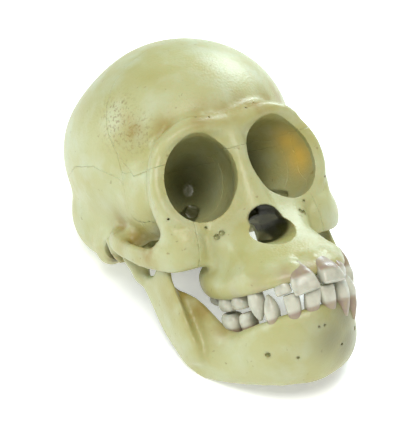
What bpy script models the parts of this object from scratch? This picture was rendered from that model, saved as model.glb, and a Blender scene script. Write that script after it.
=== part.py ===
"""A young chimpanzee's skull with its lower jaw, at rest on the angles of the jaw and the back of the head."""

import math

import bmesh
import bpy
import numpy as np
from mathutils import Matrix, Vector

# Every size below is in millimetres in the skull's own frame: x to its left, y to its back, z up,
# with the Frankfurt plane level and the nasion, the root of the nose, at zero. The last step turns
# the skull into its resting pose, in metres, with the floor at z = 0.

SUTURE_GAP = 0.3  # between one bone and the next

# Pose at rest
REST_PITCH = 34.9  # degrees that the face is tipped upwards
FLAT_DEPTH = 0.4  # how much is worn off where the bones bear on the floor
FLOOR_OUTLINE = ((-200, -200), (200, -200), (200, 200), (-200, 200))
FLOOR_THICKNESS = 20

# Finish
IVORY = (0.6, 0.57, 0.36)
BONE_COLOURS = {
    "frontal": (0.62, 0.6, 0.4),
    "maxilla": (0.58, 0.56, 0.38),
    "mandible": (0.6, 0.59, 0.38),
    "occipital": (0.56, 0.52, 0.32),
    "sphenoid": (0.42, 0.4, 0.22),
}
BONE_ROUGHNESS = 0.5
SHARP_ANGLE = 50.0  # degrees

# Braincase
BRAINCASE_CENTRE = (0.0, 66.5, 6.1)
BRAINCASE_RADII = (49.4, 60.2, 45.6)
BRAINCASE_PITCH = -3.5

# Orbits: the rim is an ellipse that faces a little outwards and upwards
ORBIT_CENTRE = (18.7, 4.0, -10.6)
ORBIT_HALF_WIDTH = 15.2
ORBIT_HALF_HEIGHT = 18.2
ORBIT_OUTWARD = 5.5
ORBIT_UPWARD = 8.0
ORBIT_TWIST = 17.8
ORBIT_APEX = (11.0, 40.0, -15.0)
ORBIT_WALL = 2.2
RIM_THICKNESS = 2.6

# Fineness of the surface
VAULT_VOXEL = 2.0
COARSE_VOXEL = 1.6
FINE_VOXEL = 0.9
HOLE_VOXEL = 0.7
CRANIUM_TRIANGLES = 4300
MANDIBLE_TRIANGLES = 1500


def vec(*values):
    return Vector(values)


def new_object(name, mesh):
    obj = bpy.data.objects.new(name, mesh)
    bpy.context.scene.collection.objects.link(obj)
    return obj


def mesh_of(bm):
    """A mesh from the bmesh, closed, with its faces outwards."""
    bmesh.ops.recalc_face_normals(bm, faces=bm.faces)
    mesh = bpy.data.meshes.new("shape")
    bm.to_mesh(mesh)
    bm.free()
    return mesh


def ellipsoid(centre, radii, pitch=0.0, fineness=4):
    bm = bmesh.new()
    bmesh.ops.create_icosphere(bm, subdivisions=fineness, radius=1.0)
    place = Matrix.Translation(centre) @ Matrix.Rotation(math.radians(pitch), 4, "X")
    bmesh.ops.transform(bm, matrix=place @ Matrix.Diagonal((*radii, 1.0)), verts=bm.verts)
    return mesh_of(bm)


def smooth_row(rows, position):
    """The row at a position along the list, on a smooth curve through every row."""
    rows = np.asarray(rows, float)
    last = len(rows) - 1
    index = min(int(position), last - 1)
    t = position - index
    before, start = rows[max(index - 1, 0)], rows[index]
    end, after = rows[index + 1], rows[min(index + 2, last)]
    leaving, arriving = (end - before) / 2, (after - start) / 2
    return (
        (2 * t**3 - 3 * t**2 + 1) * start
        + (t**3 - 2 * t**2 + t) * leaving
        + (3 * t**2 - 2 * t**3) * end
        + (t**3 - t**2) * arriving
    )


def bar(stations, rings_between=4, sides=20, squareness=2.0, closed=False):
    """A solid through stations, each a centre and the two half axes of its oval section."""
    rows = [np.concatenate(station) for station in stations]
    if closed:
        rows = rows[-1:] + rows + rows[:2]
        spans = (1, len(rows) - 2)
    else:
        spans = (0, len(rows) - 1)
    count = (spans[1] - spans[0]) * rings_between
    bm = bmesh.new()
    rings = []
    for ring in range(count if closed else count + 1):
        row = smooth_row(rows, spans[0] + ring / rings_between)
        centre, across, along = row[:3], row[3:6], row[6:9]
        points = []
        for side in range(sides):
            angle = 2 * math.pi * side / sides
            c, s = math.cos(angle), math.sin(angle)
            c = math.copysign(abs(c) ** (2 / squareness), c)
            s = math.copysign(abs(s) ** (2 / squareness), s)
            points.append(bm.verts.new(centre + c * across + s * along))
        rings.append(points)
    pairs = list(zip(rings, rings[1:]))
    if closed:
        pairs.append((rings[-1], rings[0]))
    else:
        bm.faces.new(rings[0])
        bm.faces.new(rings[-1])
    for first, second in pairs:
        for side in range(sides):
            after = (side + 1) % sides
            bm.faces.new((first[side], first[after], second[after], second[side]))
    return mesh_of(bm)


def mirrored(mesh):
    """The same shape on the skull's other side."""
    bm = bmesh.new()
    bm.from_mesh(mesh)
    bmesh.ops.scale(bm, vec=(-1, 1, 1), verts=bm.verts)
    return mesh_of(bm)


def both(mesh):
    return [mesh, mirrored(mesh)]


def joined(meshes):
    bm = bmesh.new()
    for mesh in meshes:
        bm.from_mesh(mesh)
        bpy.data.meshes.remove(mesh)
    mesh = bpy.data.meshes.new("masses")
    bm.to_mesh(mesh)
    bm.free()
    return mesh


def applied(mesh, *modifiers):
    """The mesh with each modifier applied, given as its type and its settings."""
    obj = new_object("worked", mesh)
    for kind, settings in modifiers:
        modifier = obj.modifiers.new(kind.title(), kind)
        for setting, value in settings.items():
            setattr(modifier, setting, value)
    bpy.context.view_layer.update()
    graph = bpy.context.evaluated_depsgraph_get()
    result = bpy.data.meshes.new_from_object(obj.evaluated_get(graph), depsgraph=graph)
    bpy.data.objects.remove(obj)
    bpy.data.meshes.remove(mesh)
    return result


def fused(meshes, voxel, smoothing):
    """One skin over all the masses, its creases eased."""
    return applied(
        joined(meshes),
        ("REMESH", {"mode": "VOXEL", "voxel_size": voxel}),
        ("SMOOTH", {"factor": 0.5, "iterations": smoothing}),
    )


def cut(mesh, cutter, operation="DIFFERENCE"):
    tool = new_object("cutter", cutter)
    settings = {"operation": operation, "solver": "MANIFOLD", "object": tool}
    result = applied(mesh, ("BOOLEAN", settings))
    bpy.data.objects.remove(tool)
    return result


def simplified(mesh, triangles):
    bm = bmesh.new()
    bm.from_mesh(mesh)
    bmesh.ops.triangulate(bm, faces=bm.faces)
    bm.to_mesh(mesh)
    bm.free()
    return applied(mesh, ("DECIMATE", {"ratio": min(1.0, triangles / len(mesh.polygons))}))


def largest_shell(mesh):
    """Only the largest closed surface of the mesh."""
    bm = bmesh.new()
    bm.from_mesh(mesh)
    waiting = set(bm.verts)
    shells = []
    while waiting:
        shell, edge = set(), {waiting.pop()}
        while edge:
            vertex = edge.pop()
            shell.add(vertex)
            near = {link.other_vert(vertex) for link in vertex.link_edges} & waiting
            waiting -= near
            edge |= near
        shells.append(shell)
    kept = max(shells, key=len)
    bmesh.ops.delete(bm, geom=[v for v in bm.verts if v not in kept], context="VERTS")
    bm.to_mesh(mesh)
    bm.free()
    return mesh


def swelled(mesh, strokes):
    """The surface pushed in or out around each stroke: a place, its reach and how far, on both sides."""
    points = np.empty(len(mesh.vertices) * 3)
    mesh.vertices.foreach_get("co", points)
    points = points.reshape(-1, 3)
    for place, reach, push in strokes:
        for side in (1, -1) if place[0] else (1,):
            mirror = np.array((side, 1, 1))
            away = (points - mirror * np.array(place)) / reach
            weight = np.exp(-(away**2).sum(axis=1))
            points += weight[:, None] * mirror * np.array(push)
    mesh.vertices.foreach_set("co", points.ravel())
    mesh.update()
    return mesh


def orbit_frame():
    """The left orbit's rim: its centre, its width and height directions and the way it faces."""
    outward, upward = math.radians(ORBIT_OUTWARD), math.radians(ORBIT_UPWARD)
    facing = vec(
        math.sin(outward) * math.cos(upward),
        -math.cos(outward) * math.cos(upward),
        math.sin(upward),
    )
    level = vec(0, 0, 1).cross(facing).normalized()
    level = level if level.x > 0 else -level
    upright = facing.cross(level)
    upright = upright if upright.z > 0 else -upright
    twist = math.radians(ORBIT_TWIST)
    width = math.cos(twist) * level + math.sin(twist) * upright
    height = math.cos(twist) * upright - math.sin(twist) * level
    return vec(*ORBIT_CENTRE), width, height, facing


def orbit_cone(grown, front):
    """The hollow of the left orbit, grown by a wall, starting this far before the rim."""
    centre, width, height, facing = orbit_frame()
    apex = vec(*ORBIT_APEX)
    depths = ((0.0, 1.0), (0.22, 1.0), (0.45, 0.92), (0.68, 0.74), (0.86, 0.5), (1.0, 0.16))
    stations = [
        (
            centre + facing * front,
            width * (ORBIT_HALF_WIDTH * 1.12 + grown),
            height * (ORBIT_HALF_HEIGHT * 1.12 + grown),
        )
    ]
    for depth, size in depths:
        stations.append(
            (
                centre.lerp(apex, depth),
                width * (ORBIT_HALF_WIDTH * size + grown),
                height * (ORBIT_HALF_HEIGHT * size + grown),
            )
        )
    return bar(stations if front else stations[1:], rings_between=3, sides=32)


def orbit_rim():
    centre, width, height, facing = orbit_frame()
    stations = []
    for step in range(16):
        angle = 2 * math.pi * step / 16
        outward = math.cos(angle) * width + math.sin(angle) * height
        place = (
            centre
            + math.cos(angle) * width * (ORBIT_HALF_WIDTH + RIM_THICKNESS)
            + math.sin(angle) * height * (ORBIT_HALF_HEIGHT + RIM_THICKNESS)
            - facing * RIM_THICKNESS
        )
        stations.append((place, outward * RIM_THICKNESS * 1.3, facing * RIM_THICKNESS * 1.2))
    return bar(stations, rings_between=3, sides=12, closed=True)


# The long masses of the skull, on its left side: centre, then the two half axes of the section
CHEEK_AND_ARCH = (
    ((24.0, 5.0, -37.0), (2, -5, 0), (0, 0, 9)),
    ((31.0, 6.0, -36.0), (3, -4.5, 0), (0, 0, 10)),
    ((37.0, 10.0, -37.0), (3.2, -2.6, 0), (0, 0, 9)),
    ((41.5, 18.0, -38.0), (2.4, -0.8, 0), (0, 0, 5.6)),
    ((44.5, 28.0, -35.5), (2.2, -0.3, 0), (0, 0.8, 5.2)),
    ((45.5, 38.0, -32.0), (2.4, 0, 0), (0, 1.2, 5.2)),
    ((44.5, 47.0, -29.5), (3.6, 0, 0), (0, 1.0, 5.6)),
    ((40.0, 56.0, -28.0), (6, 0, 0), (0, 0, 6.0)),
)
FRONTAL_PROCESS = (
    ((34.5, 8.5, -32.0), (3.6, 0, 0), (0, 5.5, 0)),
    ((36.6, 10.5, -22.0), (2.8, 0, 0), (0, 5.5, 0)),
    ((36.6, 12.5, -13.0), (2.4, 0, 0), (0, 5.6, 0)),
    ((35.2, 12.0, -4.0), (2.4, 0, 0), (0, 5.0, 0)),
    ((32.5, 12.0, 3.0), (2.6, 0, 0), (0, 5.5, 0)),
    ((29.0, 13.0, 8.5), (2.6, 0, 0), (0, 6.0, 0)),
)
TEMPLE = ((29.0, 36.0, -12.0), (13.0, 23.0, 21.0))
BROW = (
    ((32.5, 11.0, 3.5), (0, 5.0, 0), (1, 0, 2.6)),
    ((26.5, 9.0, 8.0), (0, 6.0, 0), (0.5, 0, 3.4)),
    ((17.0, 8.5, 10.5), (0, 7.0, 0), (0, 0, 4.2)),
    ((7.0, 8.5, 9.0), (0, 7.5, 0), (0, 0, 5.5)),
    ((0.0, 9.0, 7.5), (0, 8.0, 0), (0, 0, 6.5)),
)
NOSE = (
    ((0, 10.0, 8.0), (7.5, 0, 0), (0, 9.0, 0)),
    ((0, 7.5, 0.0), (5.6, 0, 0), (0, 7.5, 0)),
    ((0, 7.0, -9.0), (5.4, 0, 0), (0, 8.0, 0)),
    ((0, 6.0, -18.0), (7.5, 0, 0), (0, 9.5, 0)),
    ((0, 5.0, -27.0), (10.0, 0, 0), (0, 11.5, 0)),
    ((0, 4.0, -36.0), (15.5, 0, 0), (0, 15.5, 0)),
    ((0, 2.0, -44.0), (18.0, 0, 0), (0, 21.5, 0)),
)
MAXILLA = (
    ((0, 16.0, -24.0), (26.0, 0, 0), (0, 17.0, 0)),
    ((0, 13.0, -31.0), (25.5, 0, 0), (0, 18.0, 0)),
    ((0, 8.0, -39.0), (23.5, 0, 0), (0, 21.5, 0)),
    ((0, 1.5, -46.0), (23.0, 0, 0), (0, 25.5, 0)),
    ((0, -4.0, -52.0), (23.5, 0, 0), (0, 29.5, 0)),
)
UPPER_ARCADE = (
    ((22.0, 17.0, -52.0), (3.8, 0, 0), (0, 0, 6.5)),
    ((22.8, 9.0, -54.0), (4.4, 0, 0), (0, 0, 6.5)),
    ((22.2, -4.0, -55.5), (4.2, 0, 0), (0, 0, 5.6)),
    ((20.0, -16.0, -54.5), (4.2, -1.4, 0), (-0.6, 1.5, 5.8)),
    ((16.4, -25.0, -55.0), (3.4, -3.0, 0), (-0.8, 1.5, 4.4)),
    ((9.0, -30.6, -55.4), (1.6, -4.0, 0), (0, 1.5, 3.6)),
    ((0.0, -33.0, -55.2), (0, -4.0, 0), (0, 1.5, 3.4)),
)
PTERYGOID = (
    ((13.0, 30.0, -26.0), (2.5, 0, 0), (0, 7.0, 0)),
    ((13.0, 30.0, -38.0), (1.8, 0, 0), (0, 6.0, 0)),
    ((12.5, 28.0, -50.0), (1.6, 0, 0), (0, 5.0, 0)),
)
SKULL_BASE = (
    ((0, 30.0, -22.0), (14.0, 0, 0), (0, 0, 9.0)),
    ((0, 48.0, -30.0), (11.0, 0, 0), (0, 0, 8.0)),
    ((0, 70.0, -36.0), (11.0, 0, 0), (0, 0, 6.0)),
)
# The low, broad part of the braincase, over the ears
BRAINCASE_FLOOR = (
    ((0, 32.0, -9.0), (32.0, 0, 0), (0, 0, 16.0)),
    ((0, 44.0, -11.5), (40.5, 0, 0), (0, 0, 19.0)),
    ((0, 58.0, -12.0), (43.5, 0, 0), (0, 0, 23.0)),
    ((0, 76.0, -13.5), (45.5, 0, 0), (0, 0, 24.0)),
    ((0, 92.0, -11.0), (43.0, 0, 0), (0, 0, 23.0)),
    ((0, 106.0, -7.0), (33.0, 0, 0), (0, 0, 19.0)),
)
HINDLOBE = ((32.5, 87.0, -17.0), (15.5, 20.0, 20.0))
MASTOID = ((41.0, 70.0, -31.0), (6.5, 12.0, 9.0))
GLENOID = ((37.5, 46.0, -28.6), (7.0, 9.0, 5.0))
POSTGLENOID = (
    ((44.0, 56.0, -26.0), (3.0, 0, 0), (0, 2.2, 0)),
    ((42.5, 54.5, -33.0), (4.2, 0, 0), (0, 1.9, 0)),
    ((41.0, 53.5, -38.0), (3.4, 0, 0), (0, 1.4, 0)),
)
EAR_HOLE = (
    ((54.0, 61.5, -32.5), (0, 3.4, 0), (0, 0, 5.4)),
    ((42.0, 61.0, -32.5), (0, 2.8, 0), (0, 0, 4.4)),
    ((34.0, 60.0, -33.0), (0, 1.8, 0), (0, 0, 2.4)),
)
EAR_BAR = (
    ((42.0, 59.0, -32.0), (0, 6.0, 0), (0, 0, 6.0)),
    ((28.0, 55.0, -35.0), (0, 5.5, 0), (0, 0, 5.5)),
    ((12.0, 50.0, -35.0), (0, 5.0, 0), (0, 0, 5.0)),
)
CONDYLE_OF_NECK = ((11.0, 74.0, -40.0), (5.0, 8.0, 4.5))
FORAMEN = (
    ((0, 92.0, -62.0), (12.0, 0, 0), (0, 14.0, 0)),
    ((0, 86.0, -40.0), (11.0, 0, 0), (0, 13.0, 0)),
    ((0, 82.0, -24.0), (11.0, 0, 0), (0, 13.0, 0)),
    ((0, 80.0, -12.0), (6.0, 0, 0), (0, 7.0, 0)),
)
NOSE_OPENING_LOW = (
    ((0, -34.0, -40.0), (10.6, 0, 0), (0, 0, 5.2)),
    ((0, -10.0, -37.6), (9.8, 0, 0), (0, 0, 5.2)),
    ((0, 14.0, -36.6), (9.2, 0, 0), (0, 0, 5.4)),
)
NOSE_OPENING_HIGH = (
    ((0, -34.0, -34.0), (7.4, 0, 0), (0, 0, 6.5)),
    ((0, -8.0, -33.5), (7.4, 0, 0), (0, 0, 6.5)),
    ((0, 13.0, -33.0), (6.8, 0, 0), (0, 0, 6.6)),
)
NOSE_PASSAGE = (
    ((5.0, -1.0, -36.5), (3.6, 0, 0), (0, 0, 6.0)),
    ((5.6, 16.0, -37.5), (4.8, 0, 0), (0, 0, 6.0)),
    ((5.8, 34.0, -40.0), (5.0, 0, 0), (0, 0, 5.5)),
    ((6.0, 54.0, -43.5), (5.2, 0, 0), (0, 0, 4.5)),
)
LOWER_FISSURE = (
    ((28.0, 12.0, -31.0), (2.5, 3, 0), (1.2, -1, 0)),
    ((22.0, 24.0, -27.0), (0, 0, 3.0), (3.0, 2, 0)),
    ((13.0, 36.0, -24.0), (0, 0, 3.0), (2.5, 2.0, 0)),
)
MANDIBLE_BODY = (
    ((36.0, 27.0, -67.0), (3.0, 0, 0), (0, -2.0, 17.0)),
    ((31.5, 17.0, -74.0), (3.6, -1.5, 0), (-2.5, -2.0, 17.0)),
    ((26.3, 4.0, -83.6), (5.0, -2.0, 0), (-2.0, -3.5, 10.8)),
    ((20.6, -9.5, -84.5), (4.8, -3.0, -1), (-0.5, -5.5, 12.6)),
    ((13.0, -20.0, -84.8), (3.0, -4.8, -2.2), (0.5, -8.5, 14.7)),
    ((0.0, -25.0, -85.3), (0, -5.2, -3.0), (0, -10.0, 15.8)),
)
RAMUS = (
    ((36.0, 17.0, -84.0), (2.8, 0, 0), (0, 9.0, 0)),
    ((37.0, 19.5, -77.0), (2.8, 0, 0), (0, 12.5, 0)),
    ((37.6, 23.5, -69.0), (2.6, 0, 0), (0, 15.5, 0)),
    ((37.8, 27.5, -58.0), (2.4, 0, 0), (0, 17.0, 0)),
    ((37.8, 32.0, -49.0), (2.3, 0, 0), (0, 18.0, 0)),
    ((37.8, 34.0, -45.0), (2.2, 0, 0), (0, 18.0, 0)),
)
CORONOID = (
    ((37.5, 23.0, -47.0), (2.2, 0, 0), (0, 8.0, 0)),
    ((36.5, 23.5, -39.0), (1.9, 0, 0), (0, 5.5, 0)),
    ((35.5, 25.5, -31.0), (1.4, 0, 0), (0, 2.5, 0)),
)
CONDYLE_NECK = (
    ((38.0, 47.5, -48.0), (3.0, 0, 0), (0, 6.0, 0)),
    ((38.2, 47.0, -41.0), (5.0, 0, 0), (0, 3.6, 0)),
    ((38.0, 46.5, -36.6), (7.5, 0, 0), (0, 3.4, 0)),
    ((37.8, 46.5, -31.0), (7.0, 0, 0), (0, 3.0, 0)),
)


# Bulges over the roots of the teeth, and hollows of the cheek, the temple and the palate
STROKES = (
    ((20.0, -21.0, -49.0), 4.0, (1.3, -1.1, 0.0)),
    ((18.6, -18.0, -42.0), 4.0, (1.0, -0.9, 0.2)),
    ((5.5, -31.0, -50.5), 3.0, (0.0, -1.0, 0.5)),
    ((12.5, -28.0, -50.5), 2.6, (0.3, -0.6, 0.3)),
    ((0.0, -30.0, -49.5), 2.6, (0.0, 0.8, -0.5)),
    ((24.0, -7.0, -44.0), 6.5, (-2.0, 1.6, 0.0)),
    ((34.0, 22.0, 6.0), 9.0, (-1.6, 0.0, 0.0)),
    ((24.0, 84.0, 44.0), 20.0, (-0.9, -0.4, -1.8)),
    ((0.0, -4.0, -58.0), 10.0, (0.0, 0.0, 3.0)),
)

# The bones' borders. Side outlines are y and z, the zygomatic's are x and y.
REGION_REACH = 70  # further out than any bone
FRONTAL_SIDE = (
    (-30, -1.5), (12, -1.5), (26, -3), (31, 3), (37, 20), (42, 38), (45, 56), (46, 80), (-30, 80),
)
ZYGOMATIC_ABOVE = (
    (22, -30), (70, -30), (70, 33), (40.5, 33), (37, 24), (33, 19.5), (30, 16), (22, 4),
)
ZYGOMATIC_BELOW = (
    (31, -30), (70, -30), (70, 33), (40.5, 33), (37.5, 24), (33.5, 19.5), (32, 16), (31, 4),
)
TEMPORAL_DEPTH = 27.0
TEMPORAL_SIDE = (
    (29, -60), (29, -14), (35, -3), (48, 5), (64, 7), (80, 3), (91, -7), (97, -20), (93, -60),
)
PARIETAL_SIDE = (
    (24, -6), (24, 80), (140, 80), (140, 38), (119, 27), (106, 4), (97, -13), (60, -4),
)
OCCIPITAL_SIDE = ((62, -80), (62, 0), (150, 50), (150, -80))
MAXILLA_SIDE = ((-60, -80), (-60, 10), (22, 10), (22, -80))

# Teeth. A shape is a row of sections from the root's end to the biting edge: how far along the
# tooth (root below zero, crown above), then its width and its depth as shares of the crown's.
UPPER_INCISOR = (
    (-1.0, 0.4, 0.2),
    (-0.5, 0.68, 0.5),
    (0.0, 0.86, 0.88),
    (0.45, 0.98, 0.9),
    (0.85, 1.0, 0.55),
    (1.0, 0.96, 0.3),
)
LOWER_INCISOR = (
    (-1.0, 0.45, 0.5),
    (-0.5, 0.74, 0.8),
    (0.0, 0.88, 0.95),
    (0.45, 0.98, 0.9),
    (0.85, 1.0, 0.55),
    (1.0, 0.96, 0.3),
)
CANINE = (
    (-1.0, 0.25, 0.3),
    (-0.4, 0.75, 0.8),
    (0.0, 0.88, 0.9),
    (0.35, 1.0, 1.0),
    (0.75, 0.66, 0.62),
    (1.0, 0.16, 0.16),
)
MOLAR = (
    (-1.0, 0.6, 0.6),
    (-0.2, 0.82, 0.82),
    (0.1, 0.9, 0.92),
    (0.5, 1.0, 1.0),
    (0.85, 0.9, 0.88),
    (1.0, 0.62, 0.6),
    (0.86, 0.2, 0.2),
)
# Each tooth: its shape, its distance from the midline along the row of teeth, its width along the
# row, its depth, the height of its crown, the length of its root and how far it stands out.
UPPER_TEETH = (
    (UPPER_INCISOR, 5.5, 10.9, 6.4, 7.2, 7.0, 0.6),
    (UPPER_INCISOR, 14.2, 6.8, 5.2, 4.8, 6.0, 0.0),
    (CANINE, 27.6, 6.6, 6.4, 11.0, 8.0, 0.8),
    (MOLAR, 38.4, 8.6, 8.8, 5.2, 5.0, 0.0),
    (MOLAR, 49.0, 10.4, 9.8, 5.4, 5.0, 0.0),
    (MOLAR, 59.6, 9.0, 9.4, 3.6, 4.0, -0.4),
)
LOWER_TEETH = (
    (LOWER_INCISOR, 3.7, 7.0, 5.6, 7.4, 7.0, 1.2),
    (LOWER_INCISOR, 10.2, 6.6, 5.8, 7.8, 7.5, 1.8),
    (CANINE, 18.4, 6.0, 6.2, 10.0, 9.5, 2.4),
    (MOLAR, 36.0, 8.0, 7.6, 6.0, 5.0, 0.0),
    (MOLAR, 46.0, 9.6, 8.6, 6.4, 5.0, 0.0),
)
TOOTH_SIDES = 8
# The rows of teeth at the gum, on the left side, from the midline backwards
UPPER_GUM = (
    (0.0, -35.4, -56.0),
    (7.0, -34.4, -56.6),
    (13.0, -30.4, -57.6),
    (17.6, -24.4, -58.6),
    (20.4, -16.0, -59.8),
    (21.8, -5.0, -60.4),
    (22.2, 6.0, -60.2),
    (22.0, 17.0, -58.0),
)
LOWER_GUM = (
    (0.0, -32.6, -69.6),
    (7.0, -31.4, -70.0),
    (12.4, -27.4, -70.6),
    (16.8, -20.4, -71.6),
    (19.8, -11.0, -72.6),
    (22.8, 1.0, -73.0),
    (25.4, 12.0, -71.0),
)
SIDEWAYS_LEAN = 0.2
UPPER_LEAN = (38.0, 44.0)  # degrees that the crowns and the roots of the front teeth lean forwards
LOWER_LEAN = (22.0, 26.0)
UPPER_SHIFT = 2.2  # that each row stands to the skull's left of the middle
LOWER_SHIFT = 2.4
UPPER_SEED = 4
LOWER_SEED = 9


def along_row(points, distance):
    """The place this far along the row and the direction in which the row goes there."""
    steps = np.linspace(0, len(points) - 1.001, 400)
    line = np.array([smooth_row(points, step) for step in steps])
    travelled = np.concatenate([[0], np.cumsum(np.linalg.norm(np.diff(line, axis=0), axis=1))])
    place = vec(*(np.interp(distance, travelled, line[:, axis]) for axis in range(3)))
    ahead = vec(*(np.interp(distance + 1.0, travelled, line[:, axis]) for axis in range(3)))
    return place, (ahead - place).normalized()


def tooth(shape, place, along, crown_way, root_way, size):
    """A tooth at its place on the gum, with its crown and its root going their own ways."""
    width, depth, crown, root = size
    outward = along.cross(crown_way).normalized()
    stations = []
    for reach, wide, deep in shape:
        way = crown_way * reach * crown if reach > 0 else root_way * -reach * root
        stations.append(
            (place + way, along * wide * width / 2, outward * deep * depth / 2)
        )
    return bar(stations, rings_between=1, sides=TOOTH_SIDES, squareness=2.5)


def leaning(outward, degrees, down):
    """The way that a tooth points: the front ones lean forwards, and hardly sideways."""
    angle = math.radians(degrees * max(0.0, -outward.y))
    forwards = vec(outward.x * SIDEWAYS_LEAN, outward.y, 0)
    return (forwards * math.sin(angle) + vec(0, 0, down) * math.cos(angle)).normalized()


def teeth(rows, gum, down, leans, shift, seed):
    """Both sides' teeth in a row, each a little out of line, as grown ones are."""
    chance = np.random.default_rng(seed)
    crown_lean, root_lean = leans
    shapes = []
    for side in (1, -1):
        flip = vec(side, 1, 1)
        for shape, distance, width, depth, crown, root, out in rows:
            place, along = along_row(gum, distance + chance.normal(0, 0.25))
            outward = vec(along.y, -along.x, 0).normalized()
            crown_way = leaning(outward, crown_lean + chance.normal(0, 3.0), down)
            crown_way += along * math.radians(chance.normal(0, 3.5))
            root_way = -leaning(outward, root_lean, down)
            size = (width, depth, crown * chance.uniform(0.95, 1.05), root)
            shapes.append(
                tooth(
                    shape,
                    (place + outward * out) * flip + vec(shift, 0, 0),
                    along * flip,
                    crown_way.normalized() * flip,
                    root_way * flip,
                    size,
                )
            )
    return shapes


def mirror_row(stations):
    """The stations continued over the midline to the other side."""
    flip = np.array((-1, 1, 1))
    other = [
        (np.array(centre) * flip, np.array(across) * flip, np.array(along) * flip)
        for centre, across, along in stations[-2::-1]
    ]
    return list(stations) + other


def cranium():
    vault = [
        ellipsoid(BRAINCASE_CENTRE, BRAINCASE_RADII, BRAINCASE_PITCH, 5),
        bar(BRAINCASE_FLOOR, squareness=2.6),
    ]
    for shape in (MASTOID, HINDLOBE, TEMPLE):
        vault += both(ellipsoid(*shape))
    broad = [
        fused(vault, VAULT_VOXEL, 18),
        bar(MAXILLA, squareness=2.5),
        bar(SKULL_BASE),
        bar(NOSE),
    ]
    for shape in (bar(CHEEK_AND_ARCH), bar(FRONTAL_PROCESS), bar(EAR_BAR)):
        broad += both(shape)
    broad += both(orbit_cone(ORBIT_WALL, 0))
    for shape in (GLENOID, CONDYLE_OF_NECK):
        broad += both(ellipsoid(*shape))
    broad.append(bar(mirror_row(BROW)))
    broad.append(bar(mirror_row(UPPER_ARCADE)))
    skull = fused(broad, COARSE_VOXEL, 4)
    detail = [skull, *both(orbit_rim()), *both(bar(PTERYGOID)), *both(bar(POSTGLENOID))]
    skull = fused(detail, FINE_VOXEL, 2)
    holes = []
    for shape in (orbit_cone(0, 12), bar(EAR_HOLE), bar(NOSE_PASSAGE), bar(LOWER_FISSURE)):
        holes += both(shape)
    for shape in (FORAMEN, NOSE_OPENING_LOW, NOSE_OPENING_HIGH):
        holes.append(bar(shape))
    skull = swelled(skull, STROKES)
    return cut(skull, fused(holes, HOLE_VOXEL, 2))


def mandible():
    masses = [bar(mirror_row(MANDIBLE_BODY))]
    for shape in (bar(RAMUS), bar(CORONOID), bar(CONDYLE_NECK)):
        masses += both(shape)
    jaw = fused(masses, COARSE_VOXEL, 6)
    return fused([jaw], FINE_VOXEL, 3)


def prism(axis, low, high, outline, far_outline=None):
    """A block from one outline to another, each across the axis: its points leave the axis out."""
    bm = bmesh.new()
    ends = []
    for level, points in ((low, outline), (high, far_outline or outline)):
        ring = []
        for point in points:
            place = list(point)
            place.insert("xyz".index(axis), level)
            ring.append(bm.verts.new(place))
        ends.append(ring)
    count = len(outline)
    for side in range(count):
        after = (side + 1) % count
        bm.faces.new((ends[0][side], ends[0][after], ends[1][after], ends[1][side]))
    for ring in ends:
        bm.faces.new(ring)
    bmesh.ops.triangulate(bm, faces=bm.faces)
    return mesh_of(bm)


def grown(region, distance):
    """A copy of the region with each face moved outwards."""
    bm = bmesh.new()
    bm.from_mesh(region)
    bm.normal_update()
    moves = [(v, v.normal * v.calc_shell_factor() * distance) for v in bm.verts]
    for vertex, move in moves:
        vertex.co += move
    mesh = bpy.data.meshes.new("grown region")
    bm.to_mesh(mesh)
    bm.free()
    return mesh


def parted(skull, regions):
    """The bones that each region takes in turn, a suture's gap apart, and what is left."""
    bones = {}
    for name, region in regions.items():
        wider = grown(region, SUTURE_GAP)
        bones[name] = largest_shell(cut(skull.copy(), region, "INTERSECT"))
        skull = cut(skull, wider)
    bones["sphenoid"] = largest_shell(skull)
    return bones


def bone_regions():
    """Where each bone lies, in the order in which they are parted from the skull."""
    regions = {"frontal": prism("x", -REGION_REACH, REGION_REACH, FRONTAL_SIDE)}
    zygomatic = prism("z", -60, 12, ZYGOMATIC_BELOW, ZYGOMATIC_ABOVE)
    temporal = prism("x", TEMPORAL_DEPTH, REGION_REACH, TEMPORAL_SIDE)
    parietal = prism("x", SUTURE_GAP / 2, REGION_REACH, PARIETAL_SIDE)
    for name, left in (("zygomatic", zygomatic), ("temporal", temporal), ("parietal", parietal)):
        regions[name + "_left"], regions[name + "_right"] = both(left)
    regions["occipital"] = prism("x", -REGION_REACH, REGION_REACH, OCCIPITAL_SIDE)
    regions["maxilla"] = prism("x", -REGION_REACH, REGION_REACH, MAXILLA_SIDE)
    return regions


def with_teeth(bone, shapes):
    """The bone and its teeth as one closed body, their roots sunk in it."""
    helpers = bpy.data.collections.new("teeth")
    bpy.context.scene.collection.children.link(helpers)
    for shape in shapes:
        helpers.objects.link(bpy.data.objects.new("tooth", shape))
    settings = {"operation": "UNION", "operand_type": "COLLECTION", "collection": helpers}
    bone = applied(bone, ("BOOLEAN", {**settings, "solver": "EXACT"}))
    for obj in list(helpers.objects):
        bpy.data.objects.remove(obj)
    bpy.data.collections.remove(helpers)
    return largest_shell(bone)


def set_down(bones):
    """Turns the bones into the resting pose, in metres, and flattens a little what bears on the floor."""
    for bone in bones.values():
        bone.transform(Matrix.Rotation(math.radians(-REST_PITCH), 4, "X"))
    points = np.array([v.co for bone in bones.values() for v in bone.vertices])
    low, high = points.min(axis=0), points.max(axis=0)
    middle = (low + high) / 2
    lowest = low[2] + FLAT_DEPTH
    print("The nasion lies at", -middle[0] / 1000, -middle[1] / 1000, -lowest / 1000)
    for name, bone in bones.items():
        bone.transform(Matrix.Translation((-middle[0], -middle[1], -lowest)))
        if min(v.co.z for v in bone.vertices) < 0:
            bone = cut(bone, prism("z", -FLOOR_THICKNESS, 0, FLOOR_OUTLINE))
        bone.transform(Matrix.Scale(0.001, 4))
        bones[name] = bone


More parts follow.
